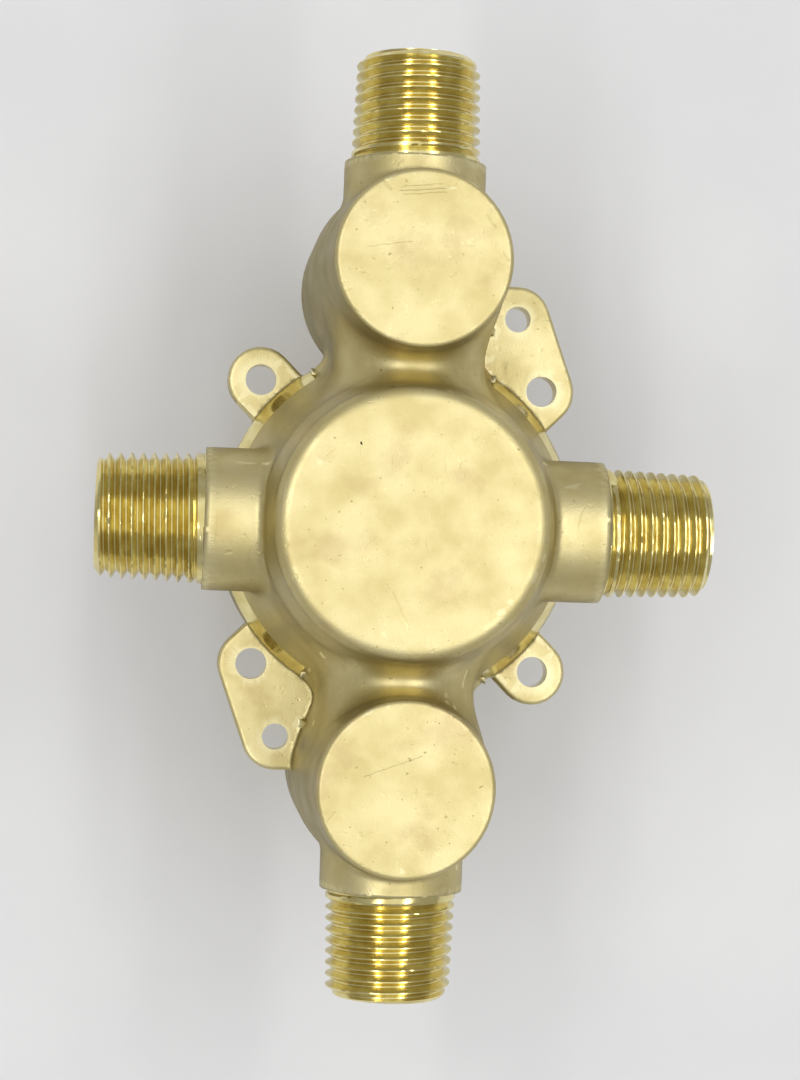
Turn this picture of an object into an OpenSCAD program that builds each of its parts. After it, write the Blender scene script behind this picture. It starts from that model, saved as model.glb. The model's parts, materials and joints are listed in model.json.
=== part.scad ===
// Pressure-balancing shower valve: a forged brass body with four threaded ports, two service
// stops and a single-handle cartridge. It lies face down: +Z points out of its back.
// The origin is the centre of the four mounting holes, on the back face of the ears.
// The inlets lie along Y, hot at +Y. The outlets lie along X.

/* [Ports] */
// Centre of the valve to the end of each inlet port
inlet_reach = 77; // [75:0.5:84]
// Centre of the valve to the end of each outlet port
outlet_reach = 50.2; // [49:0.2:58]
// Height of the port axes above the back face of the ears
port_z = 9.2; // [8:0.2:11]
// Diameter over the tapered pipe thread where it meets the collar
thread_d = 21.4; // [21:0.1:21.8]
// Length of the thread on a port
thread_len = 17.4; // [15.4:0.2:18]
// Length over which the thread grows by one in diameter
thread_taper = 16; // [14:1:24]
// Diameter of the plain collar behind the thread
collar_d = 23.5; // [22.6:0.1:25]
// Diameter of the copper tube socket in a port
socket_d = 15.96; // [15.9:0.02:16.1]
// Depth of the copper tube socket
socket_depth = 12.7; // [10:0.1:14]
// Diameter of the drilled waterways
waterway_d = 11.6; // [9.6:0.2:12]

/* [Main chamber] */
// Diameter of the round drum at the back
drum_d = 44.4; // [43.4:0.2:46]
// Height of the drum's flat back above the port axes
drum_rise = 19.5; // [18.6:0.1:22]
// Radius of the drum's rounded edge
drum_edge_r = 2.8; // [1.6:0.1:3.4]
// Thickness of the wall behind the chamber
back_wall = 4.5; // [3.4:0.1:5]
// Diameter of the barrel below the ears
barrel_d = 60; // [58:0.5:64]
// Radius of the hollow sweep from the drum to the barrel
sweep_r = 42; // [30:1:80]
// Diameter of the chamber that holds the cartridge
chamber_d = 36; // [35.6:0.1:37]
// Depth of the cartridge seat in front of the port axes
seat_depth = 17; // [16:0.2:19]
// Diameter of the pocket for the cartridge flange
pocket_d = 45; // [44:0.2:46]
// Diameter of the bore that the bonnet nut screws into
nut_bore_d = 50; // [49:0.2:52]
// Length of the bonnet nut's thread
nut_thread_len = 11; // [9:0.5:14]

/* [Service stops] */
// Centre of the valve to the axis of each stop
stop_centre = 41.7; // [41:0.1:43]
// Diameter of the flat disc at a stop's back
stop_disc_d = 28.4; // [27.4:0.1:29.4]
// Height of that disc above the port axes
stop_rise = 20; // [19:0.1:22]
// Radius of the edge round that disc
stop_edge_r = 0.9; // [0.4:0.1:1.6]
// Diameter of a stop's barrel at the ears and in front of them
stop_foot_d = 33; // [32:0.2:34]
// Bore of a stop behind its seat and in front of it
stop_bore_d = 20.6; // [20:0.1:21]
// Thickness of the web that carries the seat
web_t = 3; // [2.4:0.1:3.6]
// Diameter of the hole through the seat
seat_hole_d = 11; // [9:0.2:12]
// Travel of the plunger from open to shut
plunger_travel = 4.5; // [3:0.1:5]
// Diameter of the bore that a stop's cap screws into
cap_bore_d = 22.8; // [22.4:0.1:23.4]
// Length of the cap's thread
cap_thread_len = 10; // [8:0.5:11]
// Width across the flats of the cap's hexagon
cap_hex = 27; // [25.5:0.5:28]
// Thickness of the cap's hexagon
cap_hex_t = 5.5; // [5:0.1:8]
// Width across the flats of the plunger's six-sided shank
shank_hex = 9; // [8.6:0.1:9.8]
// Diameter of the stop spindle
spindle_d = 7; // [6.4:0.1:7.4]

/* [Neck between stop and drum] */
// Diameter of the round neck
neck_d = 25.2; // [24:0.2:26.4]
// Radius of the fillets beside the neck
neck_fillet_r = 3; // [1.5:0.1:3]

/* [Mounting ears] */
// Circle through the four mounting holes
ear_circle_d = 67.5; // [66:0.5:70]
// Diameter of the four mounting holes
ear_hole_d = 5.2; // [4.6:0.1:5.8]
// Radius of the rounded ear ends
ear_end_r = 5.6; // [5:0.1:6.4]
// Thickness of the ears
ear_t = 4; // [3:0.1:5]
// Distance of the second hole of a long ear from the outlet axis
nail_hole_y = 36; // [35:0.2:37]
// Distance of that hole from the inlet axis
nail_hole_x = 19.4; // [18.6:0.1:20.4]
// Diameter of the second hole
nail_hole_d = 4.4; // [3.6:0.1:5]

/* [Balancing spool] */
// Bore of the sleeve, in which the spool slides
sleeve_bore_d = 9.2; // [8.6:0.1:9.4]
// Outside diameter of the sleeve
sleeve_d = 12.2; // [12:0.1:12.8]
// Length of the sleeve
sleeve_len = 30; // [29:0.2:30.6]
// Length of the spool
spool_len = 22; // [20:0.2:22.6]
// Travel of the spool to each side
spool_travel = 2; // [1:0.1:2.2]
// Distance of the ring of windows from the middle
window_y = 6.9; // [6.6:0.1:7.4]

/* [Ceramic discs and carrier] */
// Diameter of the fixed disc
fixed_disc_d = 27; // [26:0.2:27.2]
// Thickness of the fixed disc
fixed_disc_t = 3.4; // [2.8:0.1:4]
// Diameter of the turning disc
moving_disc_d = 24; // [23:0.2:25]
// Thickness of the turning disc
moving_disc_t = 3; // [2.6:0.1:3.6]
// Thickness of the rubber gasket under the fixed disc
gasket_t = 1; // [0.8:0.1:1.4]
// Thickness of the carrier that turns the disc
carrier_t = 3.6; // [3:0.1:4.2]

/* [Cartridge housing] */
// Thickness of the housing's flange
flange_t = 4; // [3.4:0.1:5]
// Diameter of the housing's head inside the bonnet nut
head_d = 32; // [31:0.2:33]
// Wall at the front of the head
head_wall = 3.6; // [3:0.1:4.4]
// Diameter of the neck round the stem
guide_d = 18; // [17:0.2:19]
// Length of the neck in front of the bonnet nut
guide_show = 6.5; // [5.5:0.1:9]

/* [Stem] */
// Diameter of the stem
stem_d = 9.8; // [9:0.1:10.4]
// Length of stem in front of the neck
stem_show = 16; // [13:0.5:30]
// Turn of the stem from shut to full hot
stem_turn = 230; // [200:5:240]
// Number of splines for the handle
spline_count = 20; // [12:1:24]
// Length of the splined end
spline_len = 10; // [8:0.5:12]

/* [Bonnet nut] */
// Width across the flats of the bonnet nut
nut_hex = 50; // [48:0.5:54]
// Thickness of the bonnet nut's hexagon
nut_hex_t = 7; // [6:0.2:10]

/* [Hidden] */
$fn = 72;

// Fits
cut = 1;            // how far a cutter runs past the face that it opens
screw_gap = 0.1;    // between threads, on the radius
run_gap = 0.05;     // between a shaft and its bearing, on the radius
slide_gap = 0.03;   // between the spool and its sleeve, on the radius
loose_gap = 0.3;    // between pieces that only pass each other
disc_gap = 0.02;    // between the two ceramic discs

// Levels are given as depths in front of the port axes, which is towards -Z
function at(depth) = port_z - depth;
function hex_r(across_flats) = across_flats / 2 / cos(30);
// Centre of the circle of radius r through p and q that lies to the left of the way from p to q
function arc_centre(p, q, r) =
    let (span = q - p, half = norm(span) / 2, rise = sqrt(r * r - half * half))
    (p + q) / 2 + [-span[1], span[0]] / (2 * half) * rise;

// Forged body
drum_r = drum_d / 2;
barrel_r = barrel_d / 2;
waist_rise = 11.5;      // height of the waist, where the drum's drafted side ends
drum_draft = 1.5;       // growth of the drum's radius down to the waist
shoulder_w = 1.1;       // width of the bevel round the top of the barrel
shoulder_z = 2.4;       // height of that bevel above the ears
rim_chamfer = 1;
chamber_r = chamber_d / 2;
pocket_r = pocket_d / 2;
nut_bore_r = nut_bore_d / 2;
chamber_back = drum_rise - back_wall;
nut_seat = seat_depth + flange_t;
mouth = nut_seat + nut_thread_len;
key_w = 4;              // width of the key that stops the cartridge turning
key_reach = 1.6;        // how far the key stands out of the flange
corner_sink = 1.2;      // how far a neck's corner fill reaches into what it joins

// Ports
collar_r = collar_d / 2;
thread_r = thread_d / 2;
thread_end_r = thread_r - thread_len / thread_taper / 2;
thread_chamfer = 1.2;
waterway_r = waterway_d / 2;
divider = 2.6;          // wall between a waterway's blind end and the stop's bore
slant_r = 3.8;          // slanting passages beside a stop's bore
slant_run = 8;          // their run along Y
slant_drop = 6.5;       // their drop along Z
slant_inset = 2;        // from a waterway's blind end to the start of the passage

// Stops
stop_bore_r = stop_bore_d / 2;
stop_disc_r = stop_disc_d / 2;
stop_foot_r = stop_foot_d / 2;
stop_back_wall = 4;
seat_rim_h = 0.8;
seat_rim_w = 1.7;
seat_hole_r = seat_hole_d / 2;
seat_face = web_t / 2 + seat_rim_h;
shut_gap = 0.2;
seat_washer_t = 2.5;
seat_washer_r = seat_hole_r + seat_rim_w;
cup_depth = 1.5;
cup_wall = 1.1;
plunger_head_t = 2.6;
shank_len = 10.4;
washer_face = seat_face + plunger_travel + shut_gap;
cup_floor = washer_face + seat_washer_t;
head_back = cup_floor + plunger_head_t;
shank_end = head_back + shank_len;
screw_head_r = 2.7;
screw_head_h = 1.6;
screw_r = 1.4;
screw_len = 1.9;
screw_slot = 0.8;       // width and depth of the slot in the screw's head
end_gap = 0.2;          // room left past the end of a rod in a blind bore
spindle_nose_r = 2.5;
nose_lead = 1;          // from the plunger's blind end to the tip of the spindle
spindle_r = spindle_d / 2;
shank_gap = 0.8;        // from the open plunger's shank to the spindle's collar
collar_start = shank_end + shank_gap;
spindle_collar_t = 1.8;
spindle_collar_r = shank_hex / 2 - screw_gap;
gland = collar_start + spindle_collar_t + run_gap;
cap_gap = 3.2;          // from the open plunger's head to the cap
cap_inner = head_back + cap_gap;
cap_lead = 2.4;         // plain length of the cap in front of its thread
cap_bore_r = cap_bore_d / 2;
cap_relief = 1;         // depth of the plain groove under the cap's hexagon
cap_neck_r = cap_bore_r - cap_relief;
cap_washer_t = 1;
clip_t = 0.7;
clip_bite = 0.5;        // depth of a clip's groove
clip_reach = 1;         // how far the spindle's clip stands out of its groove
clip_opening = 2.4;
clip_pocket = 2.2;      // depth of the recess round the spindle's slotted end
clip_pocket_r = 5.4;
stop_oring_r = 0.8;
stop_groove_w = 1.9;
gland_len = 7;          // shortest bearing for the spindle in the cap
stop_mouth = max(mouth, cap_inner + cap_lead + cap_thread_len,
                 gland + gland_len + clip_pocket - cap_hex_t - cap_washer_t);
cap_thread_start = stop_mouth - cap_thread_len;
cap_head = stop_mouth + cap_washer_t;
cap_front = cap_head + cap_hex_t;
clip_seat = cap_front - clip_pocket;
spindle_set_in = 0.8;
spindle_end = cap_front - spindle_set_in;
slot_w = 1.3;
slot_depth = 1.4;

// Ears
ear_hole_xy = ear_circle_d / 2 / sqrt(2);

// Cartridge base and spool
sleeve_r = sleeve_d / 2;
sleeve_bore_r = sleeve_bore_d / 2;
sleeve_seat_gap = 0.5;
sleeve_seat_r = sleeve_r + sleeve_seat_gap; // transverse bore of the base
base_cover = 4.4;                       // from that bore to the base's front face
base_face = sleeve_seat_r + base_cover;
base_gap = 0.8;
base_r = chamber_r - base_gap;
skirt_wall = 2.1;
skirt_r = chamber_r - loose_gap;
spigot_r = skirt_r - skirt_wall;
spigot_lead = 0.5;
spigot_start = sleeve_seat_r + spigot_lead;
base_back_gap = 0.3;
base_rim = 4;                           // width of the rim round the recess in the base's back
base_recess = 3;                        // depth of that recess
seal_slack = 0.02;                      // between a seal and what it seals against
sleeve_oring_r = 0.68;
sleeve_oring_y = 11.3;
groove_w = 1.8;
window_r = 1.3;
window_count = 4;
clip_w = 0.8;
spool_end_gap = 0.2;
clip_start = spool_len / 2 + spool_travel + spool_end_gap;
spool_r = sleeve_bore_r - slide_gap;
spool_wall = 1.4;
spool_bore_r = spool_r - spool_wall;
spool_web = 2.4;
seal_wall = 1.7;
inlet_port_r = 2;
mixed_x = 9.6;
mixed_r = 2.5;
channel_w = 4.4;
channel_depth = 2.4;

// Discs, carrier and stem
fixed_start = base_face + gasket_t;
moving_start = fixed_start + fixed_disc_t + disc_gap;
carrier_start = moving_start + moving_disc_t;
stem_flange_t = 1.6;
stem_flange_start = carrier_start + carrier_t;
washer_t = 0.8;
washer_start = stem_flange_start + stem_flange_t;
head_shoulder = washer_start + washer_t;
port_arc = 85;          // angle that each inlet port covers on the fixed disc
port_arc_mid = 122.5;   // angle of its middle from the mixed side
port_arc_in = 4.9;
port_arc_out = 8.9;
centre_port_r = 2.6;
fan_angle = 130;        // angle of the hollow in the turning disc
fan_depth = 1.5;
fan_in = 1;
lug_w = 4;
lug_h = 1.3;
stem_r = stem_d / 2;
stem_flange_w = 2.4;
stem_flange_r = stem_r + stem_flange_w;
drive_flats = 7;        // across the flats of the stem's inner end
cavity_gap = 0.2;
cavity_r = fixed_disc_d / 2 + cavity_gap;
carrier_lip = 0.4;
carrier_r = moving_disc_d / 2 + carrier_lip;

// Housing, nut and front pieces
head_r = head_d / 2;
head_end = head_shoulder + head_wall;
nut_cover = 3;
nut_front = max(mouth + nut_hex_t, head_end + loose_gap + nut_cover);
guide_r = guide_d / 2;
guide_end = nut_front + guide_show;
stem_bore_r = stem_r + run_gap;
housing_oring_r = 0.95;
housing_groove_w = 2.4;
housing_oring_at = (base_face + seat_depth) / 2;
stem_oring_r = 0.9;
stem_groove_w = 2.2;
stem_oring_lead = 1.6;
stem_oring_first = head_end + stem_oring_lead;
stem_oring_pitch = 4;
limit_wall = 3;
limit_gap = 0.3;
key_plate_t = 2.2;
key_start = guide_end + loose_gap;
key_hub_wall = 1.7;
key_hub_r = stem_r + key_hub_wall;
key_arm_half = 10;      // half the angle of the key's arm
key_slack = 1;          // angle left at each end of its swing
spline_step = 0.5;      // step from the stem down to the splines
spline_depth = 0.45;
spline_tip_share = 0.3;     // of the splines' pitch, on their tips
spline_flank_share = 0.2;   // and on each flank
spline_tip_r = stem_r - spline_step;
spline_root_r = spline_tip_r - spline_depth;
stem_end = guide_end + stem_show;
handle_hole_r = 1.65;
handle_hole_depth = 10;

brass_raw = "#b9a86e";
brass_cut = "#cdb45f";
plastic_white = "#dcdad2";
plastic_black = "#2d2e30";
plastic_red = "#a5312b";
rubber = "#1f2021";
steel = "#b4b8bb";
ceramic = "#eeeae2";
fibre = "#8c4a35";

// A solid rod on the valve's axis between two depths
module rod(r, from, to) {
    translate([0, 0, at(to)]) cylinder(r = r, h = to - from);
}

// A tube on the valve's axis between two depths
module ring(r_out, r_in, from, to) {
    difference() {
        rod(r_out, from, to);
        rod(r_in, from - cut, to + cut);
    }
}

// A hexagonal bar on the valve's axis between two depths
module hex_rod(across_flats, from, to) {
    translate([0, 0, at(to)]) cylinder(r = hex_r(across_flats), h = to - from, $fn = 6);
}

// A rubber ring round the local Z axis, at the origin
module torus(centre_r, section_r) {
    rotate_extrude() translate([centre_r, 0]) circle(r = section_r, $fn = 32);
}

// Turns a shape made along +Z to lie along +Y or +X, at the height of the port axes
module along_y(side) {
    translate([0, 0, port_z]) rotate([-90 * side, 0, 0]) children();
}
module along_x(side) {
    translate([0, 0, port_z]) rotate([0, 90 * side, 0]) children();
}

// Drum, sweep and barrel in one turned outline
module main_outline() {
    drum_top = port_z + drum_rise;
    waist = [drum_r + drum_draft, port_z + waist_rise];
    shoulder = [barrel_r - shoulder_w, shoulder_z];
    difference() {
        polygon([[0, at(mouth)], [barrel_r - rim_chamfer, at(mouth)],
                 [barrel_r, at(mouth) + rim_chamfer], [barrel_r, shoulder_z - shoulder_w],
                 shoulder, waist, [drum_r, drum_top - drum_edge_r], [0, drum_top - drum_edge_r]]);
        translate(arc_centre(waist, shoulder, sweep_r)) circle(r = sweep_r, $fn = 180);
    }
    square([drum_r - drum_edge_r, drum_top]);
    translate([drum_r - drum_edge_r, drum_top - drum_edge_r]) circle(r = drum_edge_r);
}

// Drafted barrel of a stop, from its back disc to its mouth
module stop_outline() {
    top = port_z + stop_rise;
    polygon([[0, at(stop_mouth)], [stop_foot_r - rim_chamfer, at(stop_mouth)],
             [stop_foot_r, at(stop_mouth) + rim_chamfer], [stop_foot_r, 0],
             [stop_disc_r, top - stop_edge_r], [0, top - stop_edge_r]]);
    square([stop_disc_r - stop_edge_r, top]);
    translate([stop_disc_r - stop_edge_r, top - stop_edge_r]) circle(r = stop_edge_r, $fn = 48);
}

// Collar and tapered thread of a port along +Z, reaching from the centre
module port_outside(reach) {
    thread_start = reach - thread_len;
    cylinder(r = collar_r, h = thread_start);
    translate([0, 0, thread_start])
        cylinder(r1 = thread_r, r2 = thread_end_r, h = thread_len - thread_chamfer);
    translate([0, 0, reach - thread_chamfer])
        cylinder(r1 = thread_end_r, r2 = thread_end_r - thread_chamfer / 2, h = thread_chamfer);
}

// Tube socket and waterway of a port along +Z, ending blind at the depth given
module port_bore(reach, blind) {
    translate([0, 0, reach - socket_depth]) cylinder(r = socket_d / 2, h = socket_depth + cut);
    translate([0, 0, blind]) cylinder(r = waterway_r, h = reach - blind - cut);
}

// Material that rounds the corner between a neck's side and the circle of radius r at y
module corner_fill(r, y, side) {
    x = neck_d / 2 + neck_fillet_r;
    reach = sqrt(pow(r + neck_fillet_r, 2) - x * x);
    bite = neck_fillet_r + corner_sink;
    difference() {
        translate([neck_d / 2 - corner_sink, side > 0 ? y + reach - bite : y - reach])
            square([neck_fillet_r + corner_sink, bite]);
        translate([x, y + side * reach]) circle(r = neck_fillet_r);
    }
}

// Plan of the neck between drum and stop, with its corners rounded
module neck_plan() {
    translate([-neck_d / 2, 0]) square([neck_d, stop_centre]);
    for (flip = [0, 1]) mirror([flip, 0]) {
        corner_fill(barrel_r, 0, 1);
        corner_fill(stop_foot_r, stop_centre, -1);
    }
}

// Round neck over straight sides that run down to the ears
module neck(side) {
    along_y(side) cylinder(r = neck_d / 2, h = stop_centre);
    translate([-neck_d / 2, side > 0 ? 0 : -stop_centre, -ear_t])
        cube([neck_d, stop_centre, port_z + ear_t]);
    mirror([0, side > 0 ? 0 : 1]) translate([0, 0, -ear_t])
        linear_extrude(shoulder_z + ear_t) neck_plan();
}

// Plan of an ear with one hole, lying along +X at 45 degrees
module short_ear_plan() {
    rotate(45) {
        translate([0, -ear_end_r]) square([ear_circle_d / 2, 2 * ear_end_r]);
        translate([ear_circle_d / 2, 0]) circle(r = ear_end_r);
    }
}

// Plan of the long ear, which has a second hole beside the stop
module long_ear_plan() {
    main_hole = [ear_hole_xy, ear_hole_xy];
    nail_hole = [nail_hole_x, nail_hole_y];
    along = (nail_hole - main_hole) / norm(nail_hole - main_hole);
    edge = [along[1], -along[0]] * ear_end_r;
    short_ear_plan();
    translate(nail_hole) circle(r = ear_end_r);
    translate([0, nail_hole_y]) square([nail_hole_x, ear_end_r]);
    polygon([[0, 0], main_hole, main_hole + edge, nail_hole + edge, nail_hole, [0, nail_hole_y]]);
}

module ears() {
    translate([0, 0, -ear_t]) linear_extrude(ear_t) for (turn = [0, 180]) rotate(turn) {
        long_ear_plan();
        mirror([1, 0]) short_ear_plan();
    }
}

module ear_holes() {
    for (corner = [0:3])
        rotate(45 + 90 * corner) translate([ear_circle_d / 2, 0, -ear_t - cut])
            cylinder(r = ear_hole_d / 2, h = ear_t + 2 * cut);
    for (side = [1, -1])
        translate([side * nail_hole_x, side * nail_hole_y, -ear_t - cut])
            cylinder(r = nail_hole_d / 2, h = ear_t + 2 * cut);
}

// Slanting passage from a blind waterway to one side of a stop's seat
module slant(start_y, run, drop) {
    length = norm([run, drop]);
    angle = atan2(drop, run);
    translate([0, start_y, port_z]) rotate([angle - 90, 0, 0]) cylinder(r = slant_r, h = length);
}

// Bores of one stop, its seat and the passages to and from it
module stop_hollow(side) {
    inlet_end = stop_centre + stop_bore_r + divider;
    neck_end = stop_centre - stop_bore_r - divider;
    translate([0, side * stop_centre, 0]) {
        rod(stop_bore_r, stop_back_wall - stop_rise, -web_t / 2);
        rod(seat_hole_r, -web_t, web_t);
        difference() {
            rod(stop_bore_r, web_t / 2, stop_mouth);
            rod(seat_hole_r + seat_rim_w, 0, seat_face);
        }
        rod(cap_bore_r, cap_thread_start, stop_mouth + cut);
    }
    along_y(side) port_bore(inlet_reach, inlet_end);
    along_y(side) cylinder(r = waterway_r, h = neck_end);
    mirror([0, side > 0 ? 0 : 1]) {
        slant(inlet_end + slant_inset, -slant_run, slant_drop);
        slant(neck_end - slant_inset, slant_run, -slant_drop);
    }
}

// Chamber, flange pocket, key slot and nut thread
module chamber_hollow() {
    rod(chamber_r, -chamber_back, seat_depth + cut);
    rod(pocket_r, seat_depth, nut_seat + cut);
    rod(nut_bore_r, nut_seat, mouth + cut);
    translate([0, -key_w / 2 - run_gap, at(nut_seat + cut)])
        cube([pocket_r + key_reach + loose_gap, key_w + 2 * run_gap, flange_t + cut]);
}

module valve_body() {
    color(brass_raw) difference() {
        union() {
            rotate_extrude($fn = 120) main_outline();
            for (side = [1, -1]) {
                translate([0, side * stop_centre, 0]) rotate_extrude() stop_outline();
                neck(side);
                along_y(side) port_outside(inlet_reach);
                along_x(side) port_outside(outlet_reach);
            }
            ears();
        }
        chamber_hollow();
        ear_holes();
        for (side = [1, -1]) {
            stop_hollow(side);
            along_x(side) port_bore(outlet_reach, 0);
        }
    }
}

// Nut that holds the cartridge down on its seat
module bonnet_nut() {
    hex_corner = hex_r(nut_hex);
    color(brass_cut) difference() {
        union() {
            rod(nut_bore_r - screw_gap, nut_seat, mouth);
            intersection() {
                hex_rod(nut_hex, mouth, nut_front);
                translate([0, 0, at(nut_front)])
                    cylinder(r1 = nut_hex / 2, r2 = hex_corner + nut_front - mouth,
                             h = nut_front - mouth);
            }
        }
        rod(head_r + loose_gap, nut_seat - cut, head_end + loose_gap);
        rod(guide_r + loose_gap, head_end, nut_front + cut);
    }
}

// Skirt, flange, head and stem guide of the cartridge
module cartridge_housing() {
    color(plastic_white) difference() {
        union() {
            rod(skirt_r, spigot_start + run_gap, seat_depth);
            rod(pocket_r - loose_gap, seat_depth, nut_seat);
            rod(head_r, nut_seat - cut, head_end);
            rod(guide_r, head_end - cut, guide_end);
            translate([0, -key_w / 2, at(nut_seat)])
                cube([pocket_r - loose_gap + key_reach, key_w, flange_t]);
        }
        rod(spigot_r + run_gap, spigot_start - cut, base_face);
        rod(cavity_r, base_face - cut, head_shoulder);
        rod(stem_bore_r, head_shoulder - cut, guide_end + cut);
        translate([0, 0, at(housing_oring_at)]) difference() {
            cylinder(r = chamber_r, h = housing_groove_w, center = true);
            cylinder(r = chamber_r - 2 * housing_oring_r, h = 2 * housing_groove_w, center = true);
        }
    }
}

// Base with the cross bore for the spool and the passages to the discs
module cartridge_base() {
    color(plastic_black) difference() {
        union() {
            rod(base_r, base_back_gap - chamber_back, spigot_start);
            rod(spigot_r, spigot_start - cut, base_face);
        }
        along_y(1) cylinder(r = sleeve_seat_r, h = 2 * chamber_r, center = true);
        for (side = [1, -1]) {
            translate([0, side * window_y, 0]) rod(inlet_port_r, 0, base_face + cut);
            translate([side * mixed_x, 0, 0]) rod(mixed_r, 0, base_face + cut);
            along_x(side) translate([0, 0, mixed_x]) cylinder(r = mixed_r, h = chamber_r);
        }
        translate([-mixed_x, -channel_w / 2, at(base_face + cut)])
            cube([2 * mixed_x, channel_w, channel_depth + cut]);
        rod(base_r - base_rim, -chamber_back, base_back_gap + base_recess - chamber_back);
    }
}

module housing_oring() {
    color(rubber) translate([0, 0, at(housing_oring_at)])
        torus(chamber_r - housing_oring_r - seal_slack, housing_oring_r - seal_slack);
}

// Two rubber bushes that lead the inlets into the sleeve, shaped to the chamber's round wall
module inlet_seals() {
    seal_r = sleeve_seat_r - run_gap;
    color(rubber) for (side = [1, -1]) intersection() {
        along_y(side) translate([0, 0, sleeve_len / 2 + run_gap]) difference() {
            cylinder(r = seal_r, h = chamber_r);
            translate([0, 0, -cut]) cylinder(r = seal_r - seal_wall, h = chamber_r + 2 * cut);
        }
        rod(chamber_r - run_gap, -chamber_r, chamber_r);
    }
}

// Sleeve with two rings of windows, three seal grooves and two clip grooves
module spool_sleeve() {
    color(steel) along_y(1) difference() {
        cylinder(r = sleeve_r, h = sleeve_len, center = true);
        cylinder(r = sleeve_bore_r, h = sleeve_len + 2 * cut, center = true);
        for (place = [-sleeve_oring_y, 0, sleeve_oring_y]) translate([0, 0, place])
            difference() {
                cylinder(r = sleeve_r + cut, h = groove_w, center = true);
                cylinder(r = sleeve_seat_r - 2 * (sleeve_oring_r + seal_slack),
                         h = 2 * groove_w, center = true);
            }
        for (side = [1, -1], turn = [0 : window_count - 1])
            translate([0, 0, side * window_y]) rotate([0, 90, 360 / window_count * turn])
                cylinder(r = window_r, h = sleeve_r + cut);
        for (side = [0, 1]) mirror([0, 0, side]) translate([0, 0, clip_start])
            cylinder(r = sleeve_bore_r + clip_bite, h = clip_w + 2 * run_gap);
    }
}

module sleeve_orings() {
    color(rubber) along_y(1) for (place = [-sleeve_oring_y, 0, sleeve_oring_y])
        translate([0, 0, place])
            torus(sleeve_seat_r - sleeve_oring_r - seal_slack, sleeve_oring_r - seal_slack);
}

// Hollow spool: a web in the middle keeps hot from cold and feels the pressure of both
module balance_spool() {
    color(steel) along_y(1) difference() {
        cylinder(r = spool_r, h = spool_len, center = true);
        for (side = [0, 1]) mirror([0, 0, side]) {
            translate([0, 0, spool_web / 2]) cylinder(r = spool_bore_r, h = spool_len);
            for (turn = [0 : window_count - 1])
                translate([0, 0, window_y - spool_travel / 2])
                    rotate([0, 90, 360 / window_count * turn])
                        cylinder(r = window_r, h = spool_r + cut);
        }
    }
}

// Rings in the ends of the sleeve that stop the spool
module spool_clips() {
    color(steel) along_y(1) for (side = [0, 1]) mirror([0, 0, side])
        translate([0, 0, clip_start + run_gap]) difference() {
            cylinder(r = sleeve_bore_r + clip_bite - run_gap, h = clip_w);
            translate([0, 0, -cut]) cylinder(r = spool_bore_r, h = clip_w + 2 * cut);
        }
}

module disc_gasket() {
    color(rubber) difference() {
        rod(fixed_disc_d / 2, base_face, fixed_start);
        rod(centre_port_r, base_face - cut, fixed_start + cut);
        for (side = [1, -1]) translate([0, side * window_y, 0])
            rod(inlet_port_r, base_face - cut, fixed_start + cut);
    }
}

// A curved slot round the axis, its middle at the angle given
module arc_slot(middle, angle, r_in, r_out, from, to) {
    translate([0, 0, at(to)]) rotate(middle - angle / 2) rotate_extrude(angle = angle)
        translate([r_in, 0]) square([r_out - r_in, to - from]);
}

module fixed_disc() {
    color(ceramic) difference() {
        rod(fixed_disc_d / 2, fixed_start, fixed_start + fixed_disc_t);
        rod(centre_port_r, fixed_start - cut, fixed_start + fixed_disc_t + cut);
        for (side = [1, -1])
            arc_slot(side * port_arc_mid, port_arc, port_arc_in, port_arc_out,
                     fixed_start - cut, fixed_start + fixed_disc_t + cut);
    }
}

// Turning disc: a fan-shaped hollow joins the inlet ports to the centre port
module moving_disc() {
    color(ceramic) difference() {
        rod(moving_disc_d / 2, moving_start, carrier_start);
        rod(centre_port_r, moving_start - cut, moving_start + fan_depth);
        arc_slot(0, fan_angle, fan_in, port_arc_out, moving_start - cut, moving_start + fan_depth);
        for (side = [1, -1]) translate([side * moving_disc_d / 2, 0, at(carrier_start)])
            cube([lug_w + 2 * run_gap, lug_w + 2 * run_gap, 2 * lug_h + 2 * run_gap], center = true);
    }
}

module double_flat(across, r, from, to) {
    intersection() {
        rod(r, from, to);
        translate([-across / 2, -r, at(to)]) cube([across, 2 * r, to - from]);
    }
}

module disc_carrier() {
    color(plastic_black) difference() {
        union() {
            rod(carrier_r, carrier_start, stem_flange_start);
            for (side = [1, -1]) intersection() {
                translate([side * moving_disc_d / 2, 0, at(carrier_start)])
                    cube([lug_w, lug_w, 2 * lug_h], center = true);
                rod(carrier_r, moving_start, stem_flange_start);
            }
        }
        double_flat(drive_flats + 2 * run_gap, stem_bore_r, carrier_start - cut,
                    stem_flange_start + cut);
    }
}

// Outline of the splined end of the stem
module spline_outline() {
    step = 360 / spline_count;
    corners = [0, spline_tip_share, spline_tip_share + spline_flank_share, 1 - spline_flank_share];
    polygon([for (i = [0 : spline_count - 1], corner = [0 : 3])
        let (angle = (i + corners[corner]) * step,
             r = corner < 2 ? spline_tip_r : spline_root_r)
        [r * cos(angle), r * sin(angle)]]);
}

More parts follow.
